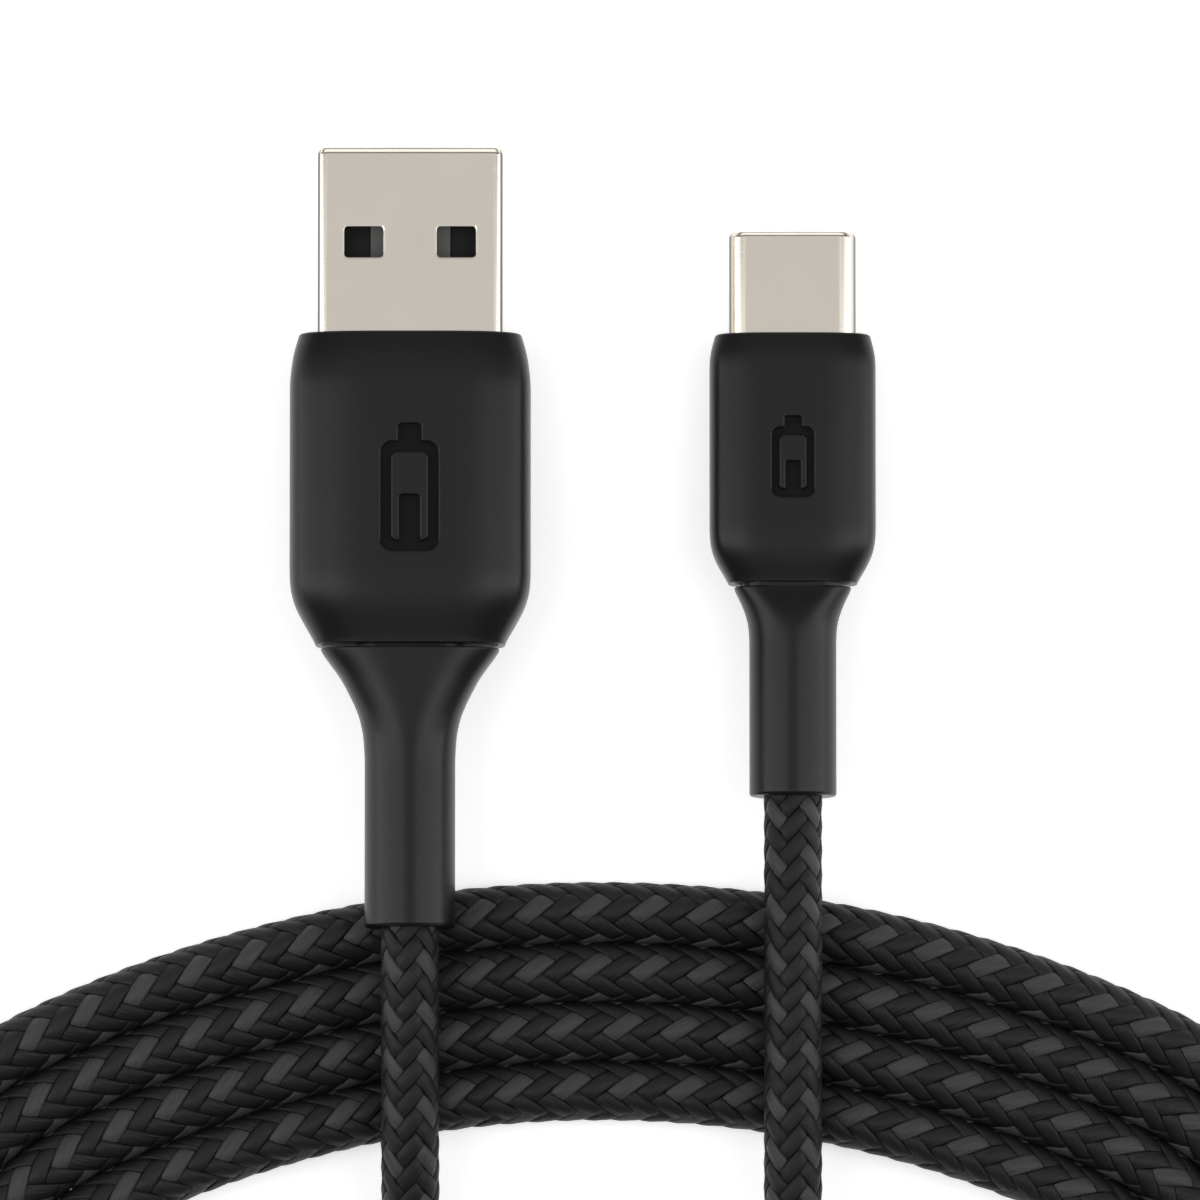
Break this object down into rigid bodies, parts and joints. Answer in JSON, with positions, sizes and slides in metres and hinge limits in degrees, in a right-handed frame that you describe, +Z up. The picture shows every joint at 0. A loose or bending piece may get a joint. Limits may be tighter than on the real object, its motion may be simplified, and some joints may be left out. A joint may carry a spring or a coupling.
{
  "type": "charging cable",
  "caption": "Braided charging cable in flat turns, with a rectangular plug and a smaller oval plug in tapered grips, each with a flexible boot on its cord tail.",
  "frame": {"origin": "on the table, below the middle of the box round the two plugs and their boots", "axes": "+Y towards the plug tips, +X from the USB-A plug to the USB-C plug, +Z up from the table"},
  "size_m": [0.1036, 0.101, 0.0099],
  "materials": {
    "braided_sleeve": "woven nylon",
    "grip_polymer": "fine matt",
    "nickel_plate": "bright satin plate",
    "black_moulding": "moulded",
    "gold_plate": "bright plate",
    "spring_steel": "rolled",
    "inner_mould": "moulded",
    "circuit_board": "solder resist",
    "chip_body": "ceramic",
    "wire_black": "extruded",
    "wire_green": "extruded",
    "wire_white": "extruded",
    "wire_red": "extruded"
  },
  "bodies": {
    "cord": {"cord_coil": "braided_sleeve", "cord_tail_a": "braided_sleeve", "cord_tail_c": "braided_sleeve"},
    "usb_a_plug": {"usb_a_boot": "grip_polymer", "usb_a_contact_1": "gold_plate", "usb_a_contact_2": "gold_plate", "usb_a_contact_3": "gold_plate", "usb_a_contact_4": "gold_plate", "usb_a_cord_end": "braided_sleeve", "usb_a_crimp_collar": "spring_steel", "usb_a_housing": "grip_polymer", "usb_a_inner_mould": "inner_mould", "usb_a_insulator": "black_moulding", "usb_a_shell": "nickel_plate", "usb_a_wire_black": "wire_black", "usb_a_wire_green": "wire_green", "usb_a_wire_red": "wire_red", "usb_a_wire_white": "wire_white"},
    "usb_c_plug": {"usb_c_board": "circuit_board", "usb_c_boot": "grip_polymer", "usb_c_cord_end": "braided_sleeve", "usb_c_housing": "grip_polymer", "usb_c_inner_mould": "inner_mould", "usb_c_insulator": "black_moulding", "usb_c_resistor": "chip_body", "usb_c_shell": "nickel_plate", "usb_c_shield_can": "spring_steel", "usb_c_wire_black": "wire_black", "usb_c_wire_green": "wire_green", "usb_c_wire_red": "wire_red", "usb_c_wire_white": "wire_white"},
    "usb_c_upper_contacts": {"usb_c_contacts_upper": "gold_plate"},
    "usb_c_lower_contacts": {"usb_c_contacts_lower": "gold_plate"},
    "usb_c_left_latch": {"usb_c_latch_left": "spring_steel"},
    "usb_c_right_latch": {"usb_c_latch_right": "spring_steel"}
  },
  "joints": [
    {"name": "usb_a_boot_flex", "type": "hinge", "parent": "cord", "child": "usb_a_plug", "pos_m": [-0.0112, -0.0157, 0.00618], "axis": [1, 0, 0], "range_deg": [0, 40], "stiffness_Nm_per_rad": 0.03, "deforming": ["usb_a_boot", "usb_a_cord_end"]},
    {"name": "usb_c_boot_flex", "type": "hinge", "parent": "cord", "child": "usb_c_plug", "pos_m": [0.01362, -0.00922, 0.00473], "axis": [1, 0, 0], "range_deg": [0, 40], "stiffness_Nm_per_rad": 0.03, "deforming": ["usb_c_boot", "usb_c_cord_end"]},
    {"name": "usb_c_upper_contact_flex", "type": "hinge", "parent": "usb_c_plug", "child": "usb_c_upper_contacts", "pos_m": [0.01362, 0.00886, 0.00377], "axis": [1, 0, 0], "range_deg": [0, 0.9], "stiffness_Nm_per_rad": 0.01},
    {"name": "usb_c_lower_contact_flex", "type": "hinge", "parent": "usb_c_plug", "child": "usb_c_lower_contacts", "pos_m": [0.01362, 0.00877, 0.00268], "axis": [-1, 0, 0], "range_deg": [0, 0.9], "stiffness_Nm_per_rad": 0.01},
    {"name": "usb_c_left_latch_flex", "type": "hinge", "parent": "usb_c_plug", "child": "usb_c_left_latch", "pos_m": [0.01027, 0.00842, 0.00326], "axis": [0, 0.0834, 0.9965], "range_deg": [0, 1.3], "stiffness_Nm_per_rad": 0.01},
    {"name": "usb_c_right_latch_flex", "type": "hinge", "parent": "usb_c_plug", "child": "usb_c_right_latch", "pos_m": [0.01697, 0.00842, 0.00326], "axis": [0, -0.0834, -0.9965], "range_deg": [0, 1.3], "stiffness_Nm_per_rad": 0.01}
  ],
  "couplings": [
    {"joint": "usb_c_lower_contact_flex", "follows": "usb_c_upper_contact_flex", "ratio": 1}
  ]
}
